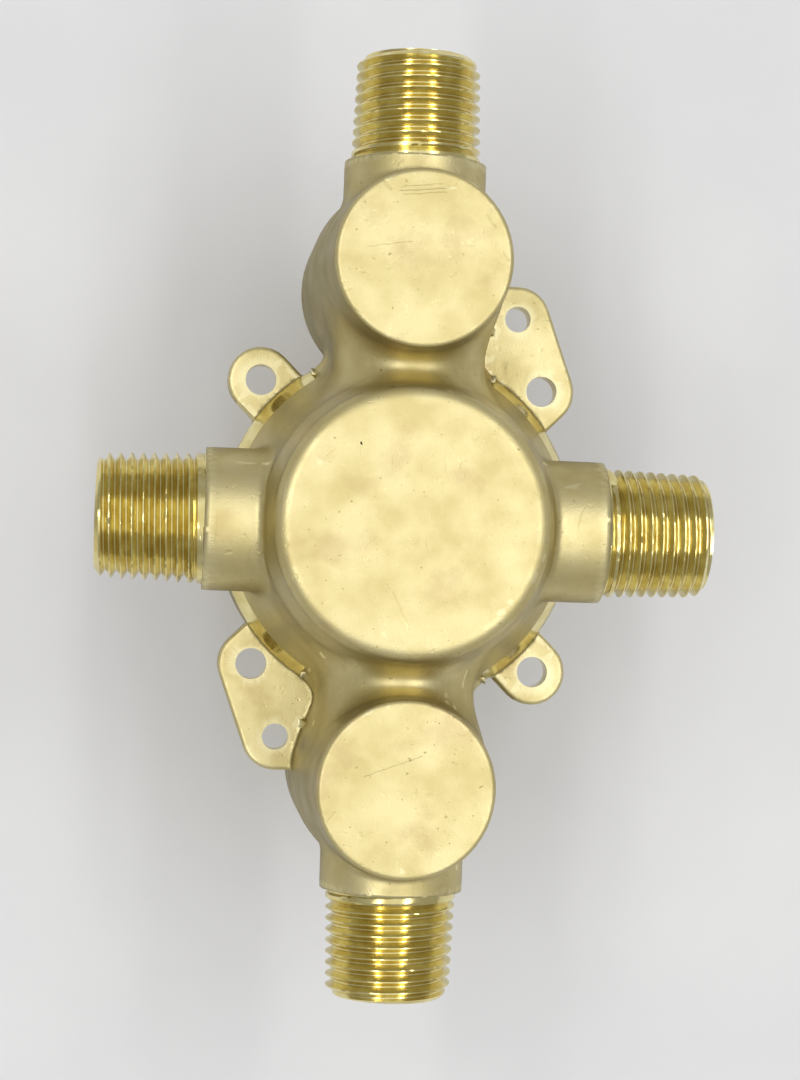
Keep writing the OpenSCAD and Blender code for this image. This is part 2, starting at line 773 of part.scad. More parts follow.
// Stem: driving flats, flange, round shaft with two seal grooves, splined end and screw hole
module stem() {
    spline_start = stem_end - spline_len;
    color(brass_cut) difference() {
        union() {
            double_flat(drive_flats, stem_r, carrier_start + end_gap, stem_flange_start + cut);
            rod(stem_flange_r, stem_flange_start, washer_start);
            rod(stem_r, washer_start - cut, key_start);
            double_flat(drive_flats, stem_r, key_start - cut, key_start + key_plate_t + cut);
            rod(spline_root_r, key_start + key_plate_t, spline_start + cut);
            translate([0, 0, at(stem_end)]) linear_extrude(spline_len) spline_outline();
        }
        for (place = [0, 1])
            translate([0, 0, at(stem_oring_first + place * stem_oring_pitch)]) difference() {
                cylinder(r = stem_r + cut, h = stem_groove_w, center = true);
                cylinder(r = stem_bore_r - 2 * stem_oring_r, h = 2 * stem_groove_w, center = true);
            }
        rod(handle_hole_r, stem_end - handle_hole_depth, stem_end + cut);
    }
}

module stem_orings() {
    color(rubber) for (place = [0, 1])
        translate([0, 0, at(stem_oring_first + place * stem_oring_pitch)])
            torus(stem_bore_r - stem_oring_r, stem_oring_r - seal_slack);
}

module thrust_washer() {
    color(plastic_white) ring(stem_flange_r, stem_bore_r + run_gap, washer_start, head_shoulder);
}

// Ring on the guide that limits the turn, and with it the hottest water
module limit_ring() {
    swing = stem_turn + 2 * key_arm_half + 2 * key_slack;
    key_end = key_start + key_plate_t;
    color(plastic_red) difference() {
        ring(guide_r + limit_wall, guide_r + run_gap, nut_front + limit_gap, key_end);
        arc_slot(-stem_turn / 2, swing, guide_r - cut, guide_r + limit_wall + cut,
                 guide_end, key_end + cut);
    }
}

// Key on the stem, whose arm swings in the gap of the limit ring
module stop_key() {
    color(plastic_white) difference() {
        union() {
            rod(key_hub_r, key_start, key_start + key_plate_t);
            arc_slot(0, 2 * key_arm_half, cut, guide_r + limit_wall,
                     key_start, key_start + key_plate_t);
        }
        double_flat(drive_flats + 2 * run_gap, stem_bore_r, key_start - cut,
                    key_start + key_plate_t + cut);
    }
}

// Cap of a service stop: six-sided guide for the plunger, gland for the spindle
module stop_cap(side) {
    color(brass_cut) translate([0, side * stop_centre, 0]) difference() {
        union() {
            rod(stop_bore_r - loose_gap, cap_inner, cap_thread_start + cut);
            rod(cap_bore_r - screw_gap, cap_thread_start + run_gap, stop_mouth);
            rod(cap_neck_r, stop_mouth - cut, cap_head + cut);
            intersection() {
                hex_rod(cap_hex, cap_head, cap_front);
                translate([0, 0, at(cap_front)])
                    cylinder(r1 = cap_hex / 2, r2 = hex_r(cap_hex) + cap_hex_t, h = cap_hex_t);
            }
        }
        hex_rod(shank_hex + 2 * screw_gap, cap_inner - cut, gland);
        rod(spindle_r + run_gap, gland - cut, cap_front + cut);
        rod(clip_pocket_r, clip_seat, cap_front + cut);
    }
}

module cap_washer(side) {
    color(fibre) translate([0, side * stop_centre, 0])
        ring(cap_hex / 2, cap_neck_r + run_gap, stop_mouth, cap_head);
}

// Spindle that turns without rising and drives the plunger with its threaded nose
module stop_spindle(side) {
    oring_at = (gland + clip_seat) / 2;
    color(brass_cut) translate([0, side * stop_centre, 0]) difference() {
        union() {
            rod(spindle_nose_r, head_back + end_gap + nose_lead, collar_start + cut);
            rod(spindle_collar_r, collar_start, collar_start + spindle_collar_t);
            rod(spindle_r, collar_start + spindle_collar_t - cut, spindle_end);
        }
        translate([0, 0, at(oring_at)]) difference() {
            cylinder(r = spindle_r + cut, h = stop_groove_w, center = true);
            cylinder(r = spindle_r + run_gap - 2 * stop_oring_r, h = 2 * stop_groove_w, center = true);
        }
        translate([0, 0, at(clip_seat + run_gap + clip_t / 2)]) difference() {
            cylinder(r = spindle_r + cut, h = clip_t + run_gap, center = true);
            cylinder(r = spindle_r - clip_bite, h = 4 * clip_t, center = true);
        }
        translate([-slot_w / 2, -spindle_d, at(spindle_end + cut)])
            cube([slot_w, 2 * spindle_d, slot_depth + cut]);
    }
}

module spindle_oring(side) {
    color(rubber) translate([0, side * stop_centre, at((gland + clip_seat) / 2)])
        torus(spindle_r + run_gap - stop_oring_r, stop_oring_r - seal_slack);
}

// Open retaining ring in the spindle's groove
module spindle_clip(side) {
    color(steel) translate([0, side * stop_centre, 0]) difference() {
        ring(spindle_r + clip_reach, spindle_r - clip_bite + run_gap,
             clip_seat + run_gap, clip_seat + run_gap + clip_t);
        translate([0, -clip_opening / 2, at(clip_seat + 2 * clip_t)])
            cube([spindle_d, clip_opening, 4 * clip_t]);
    }
}

// Plunger: a cup for the seat washer on a six-sided shank with a threaded bore
module stop_plunger(side) {
    color(brass_cut) translate([0, side * stop_centre, 0]) difference() {
        union() {
            rod(seat_washer_r + cup_wall, cup_floor - cup_depth, head_back);
            hex_rod(shank_hex, head_back - cut, shank_end);
        }
        rod(seat_washer_r + run_gap, cup_floor - cup_depth - cut, cup_floor);
        rod(spindle_nose_r + screw_gap, head_back + end_gap, shank_end + cut);
        rod(screw_r + screw_gap, cup_floor - cut, cup_floor + screw_len + end_gap);
    }
}

module seat_washer(side) {
    color(rubber) translate([0, side * stop_centre, 0])
        ring(seat_washer_r, screw_r + screw_gap, washer_face, cup_floor);
}

module washer_screw(side) {
    color(brass_cut) translate([0, side * stop_centre, 0]) difference() {
        union() {
            rod(screw_r, washer_face - cut, cup_floor + screw_len);
            rod(screw_head_r, washer_face - screw_head_h, washer_face);
        }
        translate([-screw_slot / 2, -screw_head_r - cut, at(washer_face - screw_head_h) - screw_slot])
            cube([screw_slot, 2 * (screw_head_r + cut), screw_slot + cut]);
    }
}

valve_body();
bonnet_nut();
cartridge_housing();
cartridge_base();
housing_oring();
inlet_seals();
spool_sleeve();
sleeve_orings();
balance_spool();
spool_clips();
disc_gasket();
fixed_disc();
moving_disc();
disc_carrier();
stem();
stem_orings();
thrust_washer();
limit_ring();
stop_key();
stop_cap(1);  // hot_stop_cap
cap_washer(1);  // hot_cap_washer
stop_spindle(1);  // hot_stop_spindle
spindle_oring(1);  // hot_spindle_oring
spindle_clip(1);  // hot_spindle_clip
stop_plunger(1);  // hot_stop_plunger
seat_washer(1);  // hot_seat_washer
washer_screw(1);  // hot_washer_screw
stop_cap(-1);  // cold_stop_cap
cap_washer(-1);  // cold_cap_washer
stop_spindle(-1);  // cold_stop_spindle
spindle_oring(-1);  // cold_spindle_oring
spindle_clip(-1);  // cold_spindle_clip
stop_plunger(-1);  // cold_stop_plunger
seat_washer(-1);  // cold_seat_washer
washer_screw(-1);  // cold_washer_screw
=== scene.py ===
"""Looks of a pressure-balancing shower valve, face down: blasted forged brass with cut pipe threads.

Sizes are in millimetres in the model's own frame: +Z points out of the valve's back, the inlets lie
along Y and the outlets along X. Meshes are written in metres.
"""

import json
import math

import bmesh
import bpy
import numpy as np
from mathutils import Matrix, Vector


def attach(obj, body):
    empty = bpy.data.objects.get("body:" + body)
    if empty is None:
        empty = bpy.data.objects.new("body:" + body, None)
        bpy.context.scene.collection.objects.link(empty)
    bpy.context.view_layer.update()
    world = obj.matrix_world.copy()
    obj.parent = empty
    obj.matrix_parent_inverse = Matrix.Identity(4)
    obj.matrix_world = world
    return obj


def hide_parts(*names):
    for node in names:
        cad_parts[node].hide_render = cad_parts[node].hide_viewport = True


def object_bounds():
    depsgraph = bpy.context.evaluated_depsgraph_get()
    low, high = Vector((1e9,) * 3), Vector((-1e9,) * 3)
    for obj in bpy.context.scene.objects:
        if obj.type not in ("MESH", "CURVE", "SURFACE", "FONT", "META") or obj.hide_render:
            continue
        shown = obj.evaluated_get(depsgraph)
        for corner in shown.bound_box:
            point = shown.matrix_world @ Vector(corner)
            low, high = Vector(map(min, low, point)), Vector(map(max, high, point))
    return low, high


MM = 0.001

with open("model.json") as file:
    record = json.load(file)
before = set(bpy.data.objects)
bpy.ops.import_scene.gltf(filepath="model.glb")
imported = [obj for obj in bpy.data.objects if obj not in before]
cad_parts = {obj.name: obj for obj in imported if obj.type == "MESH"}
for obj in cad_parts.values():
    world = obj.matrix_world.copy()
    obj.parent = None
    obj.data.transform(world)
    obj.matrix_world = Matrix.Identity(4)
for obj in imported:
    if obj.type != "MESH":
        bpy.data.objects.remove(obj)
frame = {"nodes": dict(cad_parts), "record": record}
cad_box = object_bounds()

# Sizes of the forging, as in the part's source
PORT_Z = 9.2
INLET_REACH = 77.0
OUTLET_REACH = 50.2
THREAD_LEN = 17.4
THREAD_R = 10.7
THREAD_TAPER = 1 / 32
THREAD_CHAMFER = 1.2
COLLAR_R = 11.75
MOUTH_Z = -22.8
DRUM_TOP = 28.7
DRUM_R = 22.2
DRUM_EDGE_R = 2.8
WAIST = (23.7, 20.7)
SHOULDER = (28.9, 2.4)
SWEEP_R = 42.0
BARREL_R = 30.0
BEVEL = 1.1
RIM_CHAMFER = 1.0
STOP_Y = 41.7
STOP_TOP = 29.2
STOP_DISC_R = 14.2
STOP_EDGE_R = 0.9
STOP_FOOT_R = 16.5
NECK_R = 12.6
EAR_T = 4.0
EAR_END_R = 5.6
EAR_HOLE = (23.865, 23.865)
NAIL_HOLE = (19.4, 36.0)

# Radii at which the forging's forms run into each other
NECK_BLEND = 3.2
PORT_BLEND = 1.1
EAR_BLEND = 0.5
EAR_EDGE_R = 0.7
SLIVER = 0.04          # edges shorter than this are closed up
LEVEL_SLACK = 0.012    # points this near a flat face lie on it

# The pipe thread: 14 turns to the inch, 60 degree flanks
PITCH = 25.4 / 14
THREAD_DEPTH = 1.2
FLAT_SHARE = 0.11      # of the pitch, flat on crest and on root
RUN_OUT = 2.4
ROWS_A_TURN = 8
COLUMNS = 128
SLEEVE_SUNK = 0.3      # of the cut thread, inside the collar
SLEEVE_WALL = 0.5
ROOT_SUNK = 0.02       # of the body's skin, below the thread's root
UP = Vector((0, 0, PORT_Z))
PORTS = []             # turn and place of each thread's start
for end in (1, -1):
    PORTS.append(((math.radians(-90 * end), 0, 0), UP + Vector((0, end * (INLET_REACH - THREAD_LEN), 0))))
    PORTS.append(((0, math.radians(90 * end), 0), UP + Vector((end * (OUTLET_REACH - THREAD_LEN), 0, 0))))


# Nicks in the back of the forging: from, to, half width in mm, and depth as a share of the grain's
NICKS = [((-2.9, -10.7), (-0.3, -15.9), 0.35, 2.5), ((-4.1, 52.2), (3.7, 53.0), 0.1, 1.2),
         ((-3.5, 51.7), (3.2, 52.3), 0.1, 1.0), ((-3.8, 52.9), (2.6, 53.6), 0.1, 0.9),
         ((-6.6, 53.6), (-5.6, 52.6), 0.5, 2.5), ((-8.9, 43.2), (-1.9, 44.4), 0.1, 0.8),
         ((-6.5, -39.5), (2.5, -36.0), 0.1, 1.0), ((9.8, 49.2), (11.2, 47.4), 0.3, 2.0),
         ((12.6, 43.2), (13.3, 42.2), 0.35, 2.0), ((-12.0, -46.4), (-10.9, -45.2), 0.3, 2.0),
         ((-14.2, 10.4), (-12.6, 11.5), 0.25, 1.2), ((4.2, -36.4), (4.9, -33.0), 0.1, 0.9)]


def arc(centre, radius, start, end, steps=12):
    """Points on a circle between two angles in degrees."""
    turns = np.radians(np.linspace(start, end, steps + 1))
    return [(centre[0] + radius * math.cos(a), centre[1] + radius * math.sin(a)) for a in turns]


def arc_through(p, q, radius, steps=24):
    """Points on the circle of that radius through p and q whose centre lies left of the way from p to q."""
    p, q = np.array(p), np.array(q)
    span = q - p
    half = np.hypot(*span) / 2
    centre = (p + q) / 2 + np.array((-span[1], span[0])) / (2 * half) * math.sqrt(radius ** 2 - half ** 2)
    start, end = (math.degrees(math.atan2(*(e - centre)[::-1])) for e in (p, q))
    if end - start > 180:
        end -= 360
    if start - end > 180:
        end += 360
    return arc(centre, radius, start, end, steps)


def outline_distance(points, outline):
    """Signed distance in the plane from points to a closed outline, negative inside."""
    a = np.array(outline, float)
    b = np.roll(a, -1, axis=0)
    nearest = np.full(len(points), np.inf)
    inside = np.zeros(len(points), bool)
    for (ax, ay), (bx, by) in zip(a, b):
        ex, ey = bx - ax, by - ay
        length = ex * ex + ey * ey
        if length == 0:
            continue
        wx, wy = points[:, 0] - ax, points[:, 1] - ay
        t = np.clip((wx * ex + wy * ey) / length, 0, 1)
        nearest = np.minimum(nearest, np.hypot(wx - t * ex, wy - t * ey))
        if ey != 0:
            crosses = (ay > points[:, 1]) != (by > points[:, 1])
            inside ^= crosses & (wx < ex * wy / ey)
    return np.where(inside, -nearest, nearest)


class Field:
    """A distance looked up on a fine grid in the plane."""

    def __init__(self, outlines, low, high, step):
        counts = [int(round((h - l) / step)) + 1 for l, h in zip(low, high)]
        u, v = (np.linspace(l, h, n) for l, h, n in zip(low, high, counts))
        points = np.stack(np.meshgrid(u, v, indexing="ij"), -1).reshape(-1, 2)
        values = np.min([outline_distance(points, o) for o in outlines], axis=0)
        self.grid = values.reshape(counts)
        self.low = np.array(low, float)
        self.step = step

    def __call__(self, u, v):
        top = np.array(self.grid.shape) - 1.001
        fu, fv = ((w - l) / self.step for w, l in zip((u, v), self.low))
        cu, cv = np.clip(fu, 0, top[0]), np.clip(fv, 0, top[1])
        beyond = np.hypot(fu - cu, fv - cv) * self.step
        i, j = cu.astype(int), cv.astype(int)
        a, b = cu - i, cv - j
        g = self.grid
        low = g[i, j] * (1 - a) + g[i + 1, j] * a
        high = g[i, j + 1] * (1 - a) + g[i + 1, j + 1] * a
        return low * (1 - b) + high * b + beyond


def drum_outline():
    """Half section of drum, hollow sweep and barrel."""
    corner = (DRUM_R - DRUM_EDGE_R, DRUM_TOP - DRUM_EDGE_R)
    return ([(-1, DRUM_TOP)] + arc(corner, DRUM_EDGE_R, 90, 0)
            + arc_through(WAIST, SHOULDER, SWEEP_R)
            + [(BARREL_R, SHOULDER[1] - BEVEL), (BARREL_R, MOUTH_Z + RIM_CHAMFER),
               (BARREL_R - RIM_CHAMFER, MOUTH_Z), (-1, MOUTH_Z)])


def stop_outline():
    """Half section of a stop's drafted barrel."""
    corner = (STOP_DISC_R - STOP_EDGE_R, STOP_TOP - STOP_EDGE_R)
    return ([(-1, STOP_TOP)] + arc(corner, STOP_EDGE_R, 90, 0, 6)
            + [(STOP_FOOT_R, 0), (STOP_FOOT_R, MOUTH_Z + RIM_CHAMFER),
               (STOP_FOOT_R - RIM_CHAMFER, MOUTH_Z), (-1, MOUTH_Z)])


def port_outline(reach):
    """Half section of a port: plain collar, then the cone over the thread's crests."""
    start = reach - THREAD_LEN
    end_r = THREAD_R - THREAD_LEN * THREAD_TAPER
    return [(-1, 0), (COLLAR_R, 0), (COLLAR_R, start), (THREAD_R, start),
            (end_r, reach - THREAD_CHAMFER), (end_r - THREAD_CHAMFER / 2, reach), (-1, reach)]


def ear_outlines():
    """Plans of the four ears: two with one hole, two longer ones with a second hole."""
    hole, nail = np.array(EAR_HOLE), np.array(NAIL_HOLE)
    along = (nail - hole) / np.hypot(*(nail - hole))
    side = math.degrees(math.atan2(-along[0], along[1]))
    foot = EAR_END_R / math.sqrt(2)
    long_ear = ([(foot, -foot)] + arc(hole, EAR_END_R, -45, side) + arc(nail, EAR_END_R, side, 90)
                + [(0, nail[1] + EAR_END_R), (-foot, foot)])
    short_ear = [(foot, -foot)] + arc(hole, EAR_END_R, -45, 135) + [(-foot, foot)]
    plans = [long_ear, [(-x, y) for x, y in short_ear]]
    return plans + [[(-x, -y) for x, y in plan] for plan in plans]


drum_field = Field([drum_outline()], (0, -32), (42, 34), 0.15)
stop_field = Field([stop_outline()], (0, -32), (26, 34), 0.15)
inlet_field = Field([port_outline(INLET_REACH)], (0, 0), (20, 82), 0.15)
outlet_field = Field([port_outline(OUTLET_REACH)], (0, 0), (20, 56), 0.15)
ear_field = Field(ear_outlines(), (-40, -52), (40, 52), 0.2)


def forms(p):
    """Distances from points to each form of the forging: drum, stops, necks, ports and ears."""
    x, y, z = p.T
    rise = z - PORT_Z
    found = [drum_field(np.hypot(x, y), z)]
    for side in (1, -1):
        found.append(stop_field(np.hypot(x, y - side * STOP_Y), z))
    round_part = np.hypot(x, np.maximum(rise, 0)) - NECK_R
    neck = np.maximum(round_part, -EAR_T - z)
    found.append(np.maximum(neck, np.abs(y) - STOP_Y))
    for side in (1, -1):
        found.append(inlet_field(np.hypot(x, rise), side * y))
    for side in (1, -1):
        found.append(outlet_field(np.hypot(y, rise), side * x))
    plan = ear_field(x, y) + EAR_EDGE_R
    level = np.abs(z + EAR_T / 2) - EAR_T / 2 + EAR_EDGE_R
    ears = np.hypot(np.maximum(plan, 0), np.maximum(level, 0)) + np.minimum(np.maximum(plan, level), 0)
    found.append(ears - EAR_EDGE_R)
    return np.array(found)


def blended(a, b, radius):
    """Union of two forms with a round fillet of that radius in the corner between them."""
    u, v = np.maximum(radius - a, 0), np.maximum(radius - b, 0)
    return np.maximum(radius, np.minimum(a, b)) - np.hypot(u, v)


def forging(p):
    """Distance from points to the whole forging, its forms blended as a forging die blends them."""
    drum, hot_stop, cold_stop, neck, *ports, ears = forms(p)
    body = blended(drum, neck, NECK_BLEND)
    for stop in (hot_stop, cold_stop):
        body = blended(body, stop, NECK_BLEND)
    for port in ports:
        body = blended(body, port, PORT_BLEND)
    return blended(body, ears, EAR_BLEND)


def slope(field, p, reach=0.03):
    """Direction in which a distance grows fastest at each point."""
    steps = np.eye(3) * reach
    g = np.stack([field(p + s) - field(p - s) for s in steps], -1)
    return g / np.maximum(np.linalg.norm(g, axis=1, keepdims=True), 1e-9)


def coords(mesh):
    co = np.empty(len(mesh.vertices) * 3)
    mesh.vertices.foreach_get("co", co)
    return co.reshape(-1, 3)


def set_coords(mesh, co):
    mesh.vertices.foreach_set("co", np.ascontiguousarray(co, np.float32).ravel())
    mesh.update()


def wanted_edge(p):
    """Edge length wanted at each point of the forging's skin: short at blends, rims and ear edges."""
    near = np.sort(np.abs(forms(p)), axis=0)
    x, y, z = p.T
    size = np.full(len(p), 1.1)
    size[near[1] < 3.6] = 0.55
    faces = (z > DRUM_TOP - 0.2) & (np.hypot(x, y) < DRUM_R)
    discs = (z > STOP_TOP - 0.3) & (np.hypot(x, np.abs(y) - STOP_Y) < STOP_DISC_R)
    size[faces | discs] = 0.55
    rims = (z > DRUM_TOP - 4) & (np.abs(np.hypot(x, y) - DRUM_R) < 2.5)
    size[rims] = 0.5
    ear_edge = (np.abs(ear_field(x, y)) < 1.2) & (z > -EAR_T - 1) & (z < 0.8)
    size[ear_edge] = 0.35
    return size


def refine(bm, passes=7):
    """Cuts the skin's long edges until each is near its wanted length, and turns badly lying ones."""
    for _ in range(passes):
        edges = [e for e in bm.edges if any(f.material_index == 0 for f in e.link_faces)]
        ends = np.array([[*e.verts[0].co, *e.verts[1].co] for e in edges]) / MM
        length = np.linalg.norm(ends[:, :3] - ends[:, 3:], axis=1)
        wanted = wanted_edge((ends[:, :3] + ends[:, 3:]) / 2)
        long_edges = [e for e, cut in zip(edges, length > 1.45 * wanted) if cut]
        if not long_edges:
            break
        bmesh.ops.subdivide_edges(bm, edges=long_edges, cuts=1, use_single_edge=True)
        bmesh.ops.triangulate(bm, faces=[f for f in bm.faces if len(f.verts) > 3])
        level = math.radians(8)
        flat = [e for e in bm.edges if e.is_manifold and e.calc_face_angle(4) < level
                and e.link_faces[0].material_index == e.link_faces[1].material_index]
        faces = [f for f in bm.faces if f.material_index == 0]
        bmesh.ops.beautify_fill(bm, faces=faces, edges=flat, method="ANGLE")
        skin = [e for e in bm.edges if all(f.material_index == 0 for f in e.link_faces)]
        bmesh.ops.dissolve_degenerate(bm, dist=SLIVER * MM, edges=skin)
        bmesh.ops.triangulate(bm, faces=[f for f in bm.faces if len(f.verts) > 3])


def forged_body():
    """The body's skin refined and drawn onto the blended forging, its bores left as they are."""
    node = frame["nodes"]["valve_body"]
    bm = bmesh.new()
    bm.from_mesh(node.data)
    bmesh.ops.remove_doubles(bm, verts=bm.verts, dist=2e-6)
    centres = np.array([f.calc_center_median() for f in bm.faces]) / MM
    corners = np.array([v.co for v in bm.verts]) / MM
    inner_point = forms(corners).min(0) < -0.06
    inner_face = forms(centres).min(0) < -0.06
    bm.verts.index_update()
    for face, inner in zip(bm.faces, inner_face):
        face.material_index = int(inner or any(inner_point[v.index] for v in face.verts))
    refine(bm)
    mesh = bpy.data.meshes.new("forged_body")
    bm.to_mesh(mesh)
    bm.free()

    p = coords(mesh) / MM
    skin = np.zeros(len(p), bool)
    bore = np.zeros(len(p), bool)
    for face in mesh.polygons:
        (skin if face.material_index == 0 else bore)[list(face.vertices)] = True
    moving = skin & ~bore
    q = p[moving]
    for _ in range(5):
        q = q - forging(q)[:, None] * slope(forging, q)
    for level in (DRUM_TOP, STOP_TOP, 0.0):
        q[np.abs(q[:, 2] - level) < LEVEL_SLACK, 2] = level
    p[moving] = q
    set_coords(mesh, turned_in(p) * MM)
    return mesh


def node(tree, kind, settings=None, **links):
    """Adds a node, sets its properties and feeds its inputs from values or from other nodes' outputs."""
    made = tree.nodes.new(kind)
    for name, value in (settings or {}).items():
        setattr(made, name, value)
    for name, value in links.items():
        key = int(name[1:]) if name[0] == "i" and name[1:].isdigit() else name.replace("_", " ")
        if isinstance(value, bpy.types.NodeSocket):
            tree.links.new(value, made.inputs[key])
        else:
            made.inputs[key].default_value = value
    return made


def maths(tree, operation, *values, clamp=False):
    """One step of arithmetic on numbers or sockets."""
    inputs = {f"i{k}": value for k, value in enumerate(values)}
    return node(tree, "ShaderNodeMath", {"operation": operation, "use_clamp": clamp}, **inputs).outputs[0]


def thread_tree(material):
    """Cuts one tapered pipe thread and sets a copy of it on each port.

    Rows of points follow the helix, eight to a turn. They gather at the edges of the flats on crest
    and root, so that these stay crisp. Both ends of the helix are trimmed level.
    """
    tree = bpy.data.node_groups.new("pipe_thread", "GeometryNodeTree")
    sizes = {"Pitch": PITCH, "Length": THREAD_LEN, "Crest radius": THREAD_R, "Taper": THREAD_TAPER,
             "Depth": THREAD_DEPTH, "Run-out": RUN_OUT, "Sunk": SLEEVE_SUNK, "Wall": SLEEVE_WALL}
    for name, value in sizes.items():
        tree.interface.new_socket(name, in_out="INPUT", socket_type="NodeSocketFloat").default_value = value
    tree.interface.new_socket("Geometry", in_out="OUTPUT", socket_type="NodeSocketGeometry")
    given = tree.nodes.new("NodeGroupInput").outputs
    turns = math.ceil((THREAD_LEN + SLEEVE_SUNK) / PITCH) + 1
    rows = turns * ROWS_A_TURN
    last = rows + 2
    grid = node(tree, "GeometryNodeMeshGrid", Size_X=1.0, Size_Y=1.0, Vertices_X=COLUMNS + 1,
                Vertices_Y=last + 1)
    at = node(tree, "ShaderNodeSeparateXYZ", Vector=node(tree, "GeometryNodeInputPosition").outputs[0])
    around = maths(tree, "ADD", at.outputs["X"], 0.5)
    row = maths(tree, "ROUND", maths(tree, "MULTIPLY", maths(tree, "ADD", at.outputs["Y"], 0.5), last))
    angle = maths(tree, "MULTIPLY", around, math.tau)
    turn = maths(tree, "DIVIDE", maths(tree, "MINIMUM", row, rows), ROWS_A_TURN)
    phase = maths(tree, "FRACT", turn)
    gather = maths(tree, "MULTIPLY", maths(tree, "SINE", maths(tree, "MULTIPLY", phase, 2 * math.tau)), 0.07)
    phase = maths(tree, "SUBTRACT", phase, gather)
    place = maths(tree, "SUBTRACT", maths(tree, "ADD", maths(tree, "ADD", maths(tree, "FLOOR", turn), phase),
                                          around), 1)
    start = maths(tree, "MULTIPLY", given["Sunk"], -1)
    along = maths(tree, "ADD", maths(tree, "MULTIPLY", place, given["Pitch"]), start)
    along = maths(tree, "MINIMUM", maths(tree, "MAXIMUM", along, start), given["Length"])
    inner = maths(tree, "GREATER_THAN", row, rows + 0.5)
    front = maths(tree, "GREATER_THAN", row, rows + 1.5)

    crest = maths(tree, "SUBTRACT", given["Crest radius"], maths(tree, "MULTIPLY", along, given["Taper"]))
    root = maths(tree, "SUBTRACT", crest, given["Depth"])
    to_full = maths(tree, "SUBTRACT", given["Run-out"], along)
    ramp = maths(tree, "DIVIDE", to_full, given["Run-out"], clamp=True)
    root = maths(tree, "ADD", root, maths(tree, "MULTIPLY", ramp, given["Depth"]))
    triangle = maths(tree, "SUBTRACT", 1, maths(tree, "ABSOLUTE", maths(tree, "SUBTRACT",
                     maths(tree, "MULTIPLY", phase, 2), 1)))
    height = maths(tree, "DIVIDE", maths(tree, "SUBTRACT", triangle, FLAT_SHARE),
                   1 - 2 * FLAT_SHARE, clamp=True)
    ridge = maths(tree, "ADD", root, maths(tree, "MULTIPLY", height, given["Depth"]))
    east, north = maths(tree, "COSINE", angle), maths(tree, "SINE", angle)
    spot = node(tree, "ShaderNodeCombineXYZ", X=maths(tree, "MULTIPLY", east, THREAD_R),
                Y=maths(tree, "MULTIPLY", north, THREAD_R), Z=along)
    chips = node(tree, "ShaderNodeTexNoise", Vector=spot.outputs[0], Scale=0.9, Detail=2.0)
    chip = maths(tree, "MULTIPLY", maths(tree, "SUBTRACT", chips.outputs[0], 0.6, clamp=True), 1.6)
    radius = maths(tree, "MINIMUM", ridge, maths(tree, "SUBTRACT", crest, chip))
    end_root = maths(tree, "SUBTRACT", maths(tree, "SUBTRACT", given["Crest radius"],
                     maths(tree, "MULTIPLY", given["Length"], given["Taper"])), given["Depth"])
    to_end = maths(tree, "SUBTRACT", given["Length"], along)
    radius = maths(tree, "MINIMUM", radius, maths(tree, "ADD", end_root, to_end))
    hidden = maths(tree, "SUBTRACT", end_root, given["Wall"])
    from_start = maths(tree, "MULTIPLY", maths(tree, "SUBTRACT", along, start), 40)
    radius = maths(tree, "MINIMUM", radius, maths(tree, "ADD", hidden, from_start))
    radius = maths(tree, "ADD", maths(tree, "MULTIPLY", radius, maths(tree, "SUBTRACT", 1, inner)),
                   maths(tree, "MULTIPLY", hidden, inner))
    back = maths(tree, "SUBTRACT", given["Length"], given["Wall"])
    along = maths(tree, "ADD", maths(tree, "MULTIPLY", along, maths(tree, "SUBTRACT", 1, inner)),
                  maths(tree, "MULTIPLY", maths(tree, "SUBTRACT", inner, front), back))
    along = maths(tree, "ADD", along, maths(tree, "MULTIPLY", front, start))
    point = node(tree, "ShaderNodeCombineXYZ", X=maths(tree, "MULTIPLY", east, radius),
                 Y=maths(tree, "MULTIPLY", north, radius), Z=along)
    wound = node(tree, "GeometryNodeSetPosition", Geometry=grid.outputs["Mesh"], Position=point.outputs[0])
    closed = node(tree, "GeometryNodeMergeByDistance", Geometry=wound.outputs[0], Distance=0.002)
    joined = tree.nodes.new("GeometryNodeJoinGeometry")
    for turned, place in PORTS:
        copy = node(tree, "GeometryNodeTransform", Geometry=closed.outputs[0], Translation=place * MM,
                    Rotation=turned, Scale=(MM, MM, MM))
        tree.links.new(copy.outputs[0], joined.inputs[0])
    real = node(tree, "GeometryNodeRealizeInstances", Geometry=joined.outputs[0])
    coloured = node(tree, "GeometryNodeSetMaterial", Geometry=real.outputs[0], Material=material)
    tree.links.new(coloured.outputs[0], tree.nodes.new("NodeGroupOutput").inputs[0])
    return tree


def grown(name, tree):
    """The plain mesh that a tree of geometry nodes makes."""
    carrier = bpy.data.objects.new(name, bpy.data.meshes.new(name))
    bpy.context.scene.collection.objects.link(carrier)
    carrier.modifiers.new(name, "NODES").node_group = tree
    shown = carrier.evaluated_get(bpy.context.evaluated_depsgraph_get())
    mesh = bpy.data.meshes.new_from_object(shown)
    carrier.modifiers.clear()
    carrier.data = mesh
    return carrier


def turned_in(p):
    """Draws the skin under each thread in to the thread's root."""
    rise = p[:, 2] - PORT_Z
    for reach, axis, other in ((INLET_REACH, 1, 0), (OUTLET_REACH, 0, 1)):
        along = np.abs(p[:, axis]) - (reach - THREAD_LEN)
        r = np.hypot(p[:, other], rise)
        root = THREAD_R - THREAD_DEPTH - along * THREAD_TAPER - ROOT_SUNK
        on_thread = (along > -0.02) & (r > root) & (r < THREAD_R + 0.05)
        share = np.where(on_thread, root / np.maximum(r, 1e-6), 1)
        p[:, other] *= share
        rise *= share
    p[:, 2] = PORT_Z + rise
    return p


